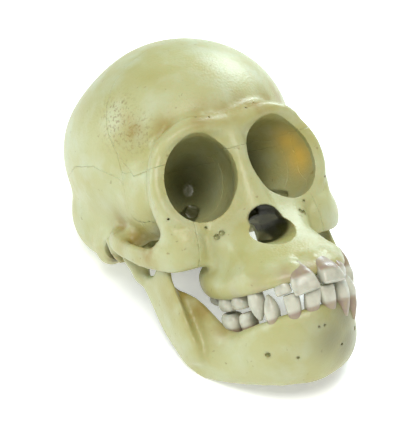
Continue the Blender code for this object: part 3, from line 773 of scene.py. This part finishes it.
# A tooth at its place on the gum, with its crown and its root going their own ways
def makeTooth(shape, place, along, crownWay, rootWay, size):
    width, depth, crown, root = size
    outward = along.cross(crownWay).normalized()
    stations = []
    for reach, wide, deep in shape:
        way = crownWay * reach * crown if reach > 0 else rootWay * -reach * root
        stations.append((place + way, along * wide * width / 2, outward * deep * depth / 2))
    return bar(stations, sides=growth["sides"], squareness=growth["squareness"])


# The way that a tooth points: the front ones lean forwards, and hardly sideways
def leaning(outward, degrees, up):
    angle = math.radians(degrees * max(0.0, -outward.y))
    forwards = Vector((outward.x * growth["sidewaysLean"], outward.y, 0))
    return (forwards * math.sin(angle) + Vector((0, 0, up)) * math.cos(angle)).normalized()


# Both sides' teeth in a row, each a little out of line, as grown ones are
def makeTeeth(row):
    chance = np.random.default_rng(row["seed"])
    crownLean, rootLean = row["lean"]
    shapes = []
    for side in (1, -1):
        flip = Vector((side, 1, 1))
        for shape, distance, width, depth, crown, root, out in row["teeth"]:
            place, along = alongRow(row["gum"], distance + chance.normal(0, growth["place"]))
            outward = Vector((along.y, -along.x, 0)).normalized()
            crownWay = leaning(outward, crownLean + chance.normal(0, growth["lean"]), row["up"])
            crownWay += along * math.radians(chance.normal(0, growth["turn"]))
            rootWay = -leaning(outward, rootLean, row["up"])
            size = (width, depth, crown * chance.uniform(*growth["crown"]), root)
            place = (place + outward * out) * flip + Vector((row["shift"], 0, 0))
            ways = (along * flip, crownWay.normalized() * flip, rootWay * flip)
            shapes.append(makeTooth(toothShapes[shape], place, *ways, size))
    return joined(shapes)


def paint(mesh, name, values):
    attribute = mesh.attributes.new(name, "FLOAT", "POINT")
    attribute.data.foreach_set("value", np.clip(values, 0, 1).astype(np.float32))


def rise(values, low, high):
    share = np.clip((values - low) / (high - low), 0, 1)
    return share * share * (3 - 2 * share)


# How near each point is to any of the places, on both sides unless told otherwise
def nearness(points, places, reach, bothSides=True):
    best = np.zeros(len(points))
    for place in places:
        for side in (1, -1) if bothSides else (1,):
            away = np.linalg.norm(points - np.array(place) * (side, 1, 1), axis=1)
            best = np.maximum(best, np.exp(-((away / reach) ** 2)))
    return best


# Where the painted shade inside each opening begins to darken and where it is darkest
shade = {
    "orbitEdge": (1.2, 1.06),  # shares of the rim's half width
    "orbitMouth": (0.5, 5.0),
    "orbitMouthShare": 0.08,
    "orbitDepth": (18.0, 38.0),
    "noseEdge": (1.1, 1.02),
    "noseDepth": (-9.5, -4.5),
    "noseLow": (10.2, -38.0, 5.4),  # half width, height of the middle, half height
    "noseHigh": (7.4, -33.6, 6.5),
    "earDepth": (46.5, 41.0),
    "earPlace": (61, -32.5),
    "earReach": 6,
    "spineDepth": (-40.0, -30.0),
    "spineTop": -8,  # nothing above it is darkened
    "spinePlace": 84,
    "spineReach": 14.5,
    "fissure": ((18.0, 30.0, -25.5), (13.0, 36.0, -24.0)),
    "fissureReach": 4.5,
    "fissureStrength": 1.5,
    "pitReach": 1.05,  # share of the hole's width
    "pitStrength": 0.9,
    "inside": 0.02,  # a darker point counts as inside
}


def orbitDarkness(left):
    centre, width, height, facing = (np.array(part) for part in orbitFrame())
    away = left - centre
    depth = -(away @ facing)
    line = np.array(orbit["apex"]) - centre
    share = np.clip(depth / -(line @ facing), 0, 1)
    across = away - share[:, None] * line
    wide = across @ width / orbit["halfWidth"]
    tall = across @ height / orbit["halfHeight"]
    mouth = shade["orbitMouthShare"] * rise(depth, *shade["orbitMouth"])
    deep = (1 - shade["orbitMouthShare"]) * rise(depth, *shade["orbitDepth"])
    return rise(np.hypot(wide, tall), *shade["orbitEdge"]) * (mouth + deep)


def noseDarkness(left):
    ovals = []
    for part in ("noseLow", "noseHigh"):
        halfWidth, middle, halfHeight = shade[part]
        ovals.append(np.hypot(left[:, 0] / halfWidth, (left[:, 2] - middle) / halfHeight))
    return rise(left[:, 1], *shade["noseDepth"]) * rise(np.minimum(*ovals), *shade["noseEdge"])


# How much painted shade each point gets from how deep it lies in an orbit or its fissure, the nose, an
# ear or the spine's opening
def hollowShading(points):
    left = points.copy()
    left[:, 0] = np.abs(left[:, 0])
    back, up = shade["earPlace"]
    ear = np.hypot(left[:, 1] - back, left[:, 2] - up) < shade["earReach"]
    spine = np.hypot(left[:, 0], left[:, 1] - shade["spinePlace"]) < shade["spineReach"]
    fissure = shade["fissureStrength"] * nearness(points, shade["fissure"], shade["fissureReach"])
    return np.maximum.reduce([
        orbitDarkness(left),
        noseDarkness(left),
        ear * rise(left[:, 0], *shade["earDepth"]),
        np.minimum(fissure, 1),
        spine * rise(left[:, 2], *shade["spineDepth"]) * (left[:, 2] < shade["spineTop"]),
    ])


# The places and the reach of each tone. The brow, arch and jaw tones are painted ochre shade in the
# grooves and the cleft over the arch, and inside the jaw painted light through thin bone. The tone
# on the jaw's lower front is painted shade too. The last three are on one side only, and the glow is
# painted amber light inside the left orbit.
stainsShadeAndGlow = {
    "brow": (
        ((34.8, 26.2, 15.5), (24.5, 13.8, 12.5), (13.4, 4.5, 13.6), (9.2, 6.0, 14.5), (0.0, 5.2, 13.3)),
        6.0,
    ),
    "arch": (
        ((40.8, 49.2, -23.3), (40.4, 38.4, -29.3), (43.0, 18.7, -33.7), (40.0, 58.0, -36.0)),
        7.5,
    ),
    "jaw": (
        ((30.0, 10.0, -62.0), (33.0, 20.0, -55.0), (24.0, 4.0, -74.0)),
        7.0,
    ),
    "socket": (
        ((0.0, -36.0, -54.5), (9.0, -34.0, -55.0), (17.0, -26.0, -57.0), (21.0, -14.0, -58.0)),
        4.0,
    ),
    "jawShade": (
        ((5.0, -32.0, -84.0), (14.0, -26.0, -89.0), (23.0, -11.0, -90.0), (12.0, -30.0, -77.0)),
        11.0,
    ),
    "worn": (
        ((-36.0, 34.0, 25.0), (-34.0, 25.0, 15.5), (-38.0, 32.0, 19.0)),
        8.0,
    ),
    "glow": (
        ((33.0, 17.0, -4.0), (33.5, 15.0, -12.0)),
        8.0,
    ),
}


def paintBone(mesh):
    points = pointsOf(mesh)
    # Painted shade in the openings, and around the mouths of the small holes
    hollowShade = hollowShading(points)
    pitMouthShade = np.zeros(len(points))
    for place, wide in pits["cranium"] + pits["jaw"]:
        pitMouthShade = np.maximum(pitMouthShade, nearness(points, (place,), wide * shade["pitReach"]))
    paint(mesh, "hollowShade", np.maximum(hollowShade, shade["pitStrength"] * pitMouthShade))
    # Ochre painted shade in the brow groove and the cleft over the arch, and painted light through the
    # thin bone inside the jaw
    ochre = [nearness(points, *stainsShadeAndGlow[part]) for part in ("brow", "arch", "jaw")]
    paint(mesh, "grooveShade", np.maximum.reduce(ochre))
    paint(mesh, "socket", nearness(points, *stainsShadeAndGlow["socket"]))
    # Painted shade on one side of the jaw's lower front, and the bone's own pits at one temple
    for part in ("jawShade", "worn"):
        paint(mesh, part, nearness(points, *stainsShadeAndGlow[part], bothSides=False))
    glow = nearness(points, *stainsShadeAndGlow["glow"], bothSides=False)
    paint(mesh, "glow", glow * (hollowShade > shade["inside"]))


# The root's tone grows from the gum line into the bone
def paintTeeth(mesh, row):
    points = pointsOf(mesh)
    line = smoothLine(row["gum"], count=200)
    side = np.abs(points[:, 0])
    nearest = np.empty(len(points))
    for index, point in enumerate(points):
        flat = (line[:, 0] - side[index]) ** 2 + (line[:, 1] - point[1]) ** 2
        nearest[index] = line[flat.argmin(), 2]
    height = (points[:, 2] - nearest) * row["up"]
    paint(mesh, "root", rise(height, *growth["rootFade"]))


# Colours, noises as scale, detail and the range that is spread from 0 to 1, and how strongly each
# layer covers what is under it
dryBone = {
    "pale": (0.42, 0.42, 0.205),
    "warm": (0.35, 0.32, 0.1),
    "chalk": (0.48, 0.52, 0.37),
    # painted shade in the grooves, and painted light through thin bone in the jaw
    "ochre": (0.27, 0.19, 0.035),
    # painted shade in the openings and the small holes
    "deep": (0.05, 0.05, 0.01),
    "amber": (0.8, 0.55, 0.12),
    "socket": (0.3, 0.19, 0.14),
    "speck": (0.2, 0.15, 0.05),
    # painted shade on the jaw's lower front
    "jawShade": (0.15, 0.142, 0.065),
    "broad": (28, 3, 0.35, 0.68),
    "patchy": (90, 5, 0.45, 0.75),
    "fine": (900, 4, 0.35, 0.65),
    "specks": (420, 2, 0.69, 0.75),
    "pores": (800, 3, 0.53, 0.62),
    "mottle": (150, 6, 0.25, 0.55),
    "chalkShare": 0.5,
    "speckShare": 0.55,
    "poreShare": 0.75,
    "jawShadeShare": 0.75,
    "grooveShadeShare": 0.85,
    "socketShare": 0.45,
    "shader": {
        "Roughness": 0.42,
        "Subsurface Weight": 0.12,
        "Subsurface Scale": 0.003,
        "Coat Weight": 0.12,
        "Coat Roughness": 0.35,
    },
    "bump": {"Strength": 0.16, "Distance": 0.0004},
}
enamel = {
    "crown": (0.5, 0.49, 0.39),
    "grey": (0.36, 0.35, 0.27),
    "root": (0.3, 0.24, 0.14),
    "neck": (0.27, 0.195, 0.15),
    "cloud": (220, 4, 0.4, 0.7),
    "mottle": (500, 5, 0.35, 0.65),
    "shader": {
        "Roughness": 0.34,
        "Subsurface Weight": 0.1,
        "Subsurface Scale": 0.002,
        "Coat Weight": 0.1,
        "Coat Roughness": 0.3,
    },
    "bump": {"Strength": 0.2, "Distance": 0.0002},
}


def setSockets(node, settings):
    for socket, value in settings.items():
        node.inputs[socket].default_value = value


def newMaterial(name):
    material = bpy.data.materials.new(name)
    material.use_nodes = True
    return material


# The second colour laid over the first in this share
def mixed(nodes, links, share, first, second):
    mix = nodes.new("ShaderNodeMix")
    mix.data_type = "RGBA"
    links.new(share, mix.inputs["Factor"])
    for socket, value in ((mix.inputs["A"], first), (mix.inputs["B"], second)):
        if isinstance(value, tuple):
            socket.default_value = (*value, 1.0)
        else:
            links.new(value, socket)
    return mix.outputs["Result"]


def noise(nodes, links, place, scale, detail, low, high):
    texture = nodes.new("ShaderNodeTexNoise")
    setSockets(texture, {"Scale": scale, "Detail": detail})
    links.new(place, texture.inputs["Vector"])
    spread = nodes.new("ShaderNodeMapRange")
    setSockets(spread, {"From Min": low, "From Max": high})
    links.new(texture.outputs["Fac"], spread.inputs["Value"])
    return spread.outputs["Result"]


def product(nodes, links, first, second):
    times = nodes.new("ShaderNodeMath")
    times.operation = "MULTIPLY"
    for socket, value in zip(times.inputs, (first, second)):
        if isinstance(value, float):
            socket.default_value = value
        else:
            links.new(value, socket)
    return times.outputs["Value"]


def attributeOf(nodes, name):
    reader = nodes.new("ShaderNodeAttribute")
    reader.attribute_name = name
    return reader.outputs["Fac"]


# The colour, the gloss and the grain on the material's own shader
def dress(nodes, links, colour, grain, finish):
    shader = nodes["Principled BSDF"]
    links.new(colour, shader.inputs["Base Color"])
    setSockets(shader, finish["shader"])
    bump = nodes.new("ShaderNodeBump")
    setSockets(bump, finish["bump"])
    links.new(grain, bump.inputs["Height"])
    links.new(bump.outputs["Normal"], shader.inputs["Normal"])


def makeBoneMaterial():
    material = newMaterial("dry ivory bone")
    nodes, links = material.node_tree.nodes, material.node_tree.links
    place = nodes.new("ShaderNodeTexCoord").outputs["Object"]

    def pattern(name):
        return noise(nodes, links, place, *dryBone[name])

    def painted(name):
        return attributeOf(nodes, name)

    def times(first, second):
        return product(nodes, links, first, second)

    mottle = pattern("mottle")
    layers = (
        (times(pattern("patchy"), dryBone["chalkShare"]), "chalk"),
        (times(pattern("specks"), dryBone["speckShare"]), "speck"),
        (times(times(pattern("pores"), painted("worn")), dryBone["poreShare"]), "speck"),
        (times(painted("jawShade"), dryBone["jawShadeShare"]), "jawShade"),
        (times(times(painted("grooveShade"), mottle), dryBone["grooveShadeShare"]), "ochre"),
        (times(times(painted("socket"), mottle), dryBone["socketShare"]), "socket"),
        # painted shade in the openings and the small holes
        (painted("hollowShade"), "deep"),
        (painted("glow"), "amber"),
    )
    colour = mixed(nodes, links, pattern("broad"), dryBone["pale"], dryBone["warm"])
    for share, tone in layers:
        colour = mixed(nodes, links, share, colour, dryBone[tone])
    dress(nodes, links, colour, pattern("fine"), dryBone)
    return material


def makeToothMaterial():
    material = newMaterial("old enamel and root")
    nodes, links = material.node_tree.nodes, material.node_tree.links
    place = nodes.new("ShaderNodeTexCoord").outputs["Object"]
    cloud = noise(nodes, links, place, *enamel["cloud"])
    mottle = noise(nodes, links, place, *enamel["mottle"])
    crown = mixed(nodes, links, cloud, enamel["crown"], enamel["grey"])
    root = mixed(nodes, links, mottle, enamel["root"], enamel["neck"])
    colour = mixed(nodes, links, attributeOf(nodes, "root"), crown, root)
    dress(nodes, links, colour, mottle, enamel)
    return material


# The piece at rest on the floor, smooth, with its material and its place in the frame
def finished(name, mesh, material, node=None):
    mesh.transform(toRest)
    if pointsOf(mesh)[:, 2].min() < 0:
        reach = rest["groundReach"]
        corners = ((-reach, -reach), (reach, -reach), (reach, reach), (-reach, reach))
        mesh = cut(mesh, prism("z", -rest["groundDepth"], 0, corners))
    mesh.materials.clear()
    mesh.materials.append(material)
    mesh.shade_smooth()
    piece = newObject(name, mesh)
    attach(piece, "root")
    if node:
        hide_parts(node)


bones = parted(makeCranium(), boneRegions())
print("cranium parted into", len(bones), "bones")
jaw = makeLowerJaw()
for side in ("left", "right"):
    jaw = cut(jaw, grown(bones["temporal_" + side], borders["suture"]))
bones["mandible"] = largestShell(jaw)
print("lower jaw modelled")

boneMaterial = makeBoneMaterial()
for name, bone in bones.items():
    paintBone(bone)
    finished(name + "_surface", bone, boneMaterial, name)
print("bones painted")

toothMaterial = makeToothMaterial()
for name, row in (("upper_teeth", upperRow), ("lower_teeth", lowerRow)):
    teeth = makeTeeth(row)
    paintTeeth(teeth, row)
    finished(name, teeth, toothMaterial)
print("teeth set")

studio = {
    "floorSize": 6.0,
    "floor": {
        "Base Color": (0.93, 0.94, 0.93, 1.0),
        "Roughness": 0.8,
        "Emission Color": (1.0, 1.0, 1.0, 1.0),
        "Emission Strength": 0.35,
    },
    "world": {"Color": (0.93, 0.96, 1.0, 1.0), "Strength": 0.5},
    # name, place, size, power and colour
    "lights": (
        ("key", (-0.3, -0.5, 1.0), 0.5, 9.0, (1.0, 0.99, 0.94)),
        ("left sheen", (-0.75, 0.45, 0.3), 0.3, 2.6, (0.8, 0.95, 1.0)),
        ("right sheen", (0.6, 0.45, 0.5), 0.4, 6.5, (0.78, 0.94, 1.0)),
    ),
    "aim": (0.0, -0.02, 0.05),
}

bpy.ops.mesh.primitive_plane_add(size=studio["floorSize"], location=(0, 0, 0))
floor = bpy.context.active_object
floor.name = "floor"
floorMaterial = newMaterial("pale floor")
setSockets(floorMaterial.node_tree.nodes["Principled BSDF"], studio["floor"])
floor.data.materials.append(floorMaterial)

world = bpy.data.worlds.new("pale room")
world.use_nodes = True
setSockets(world.node_tree.nodes["Background"], studio["world"])
bpy.context.scene.world = world

for name, location, size, power, colour in studio["lights"]:
    bpy.ops.object.light_add(type="AREA", location=location)
    lamp = bpy.context.active_object
    lamp.name = name
    lamp.data.size = size
    lamp.data.energy = power
    lamp.data.color = colour
    towards = Vector(studio["aim"]) - Vector(location)
    lamp.rotation_euler = towards.to_track_quat("-Z", "Y").to_euler()

view = {
    "location": (-0.30348, -0.58451, 0.48515),
    "azimuth": -26.844,
    "elevation": 34.384,
    "roll": 0.586,
    "lens": 151.8,
    "sensorHeight": 36.0,
    "clipStart": 0.01,
}
bpy.ops.object.camera_add(location=view["location"])
camera = bpy.context.active_object
turn = Matrix.Rotation(math.radians(view["azimuth"]), 3, "Z")
tip = Matrix.Rotation(math.radians(90 - view["elevation"]), 3, "X")
roll = Matrix.Rotation(math.radians(view["roll"]), 3, "Z")
camera.rotation_euler = (turn @ tip @ roll).to_euler()
camera.data.sensor_fit = "VERTICAL"
camera.data.sensor_height = view["sensorHeight"]
camera.data.lens = view["lens"]
camera.data.clip_start = view["clipStart"]
bpy.context.scene.camera = camera
bpy.context.scene.view_settings.view_transform = "Standard"
print("floor, light and camera placed")
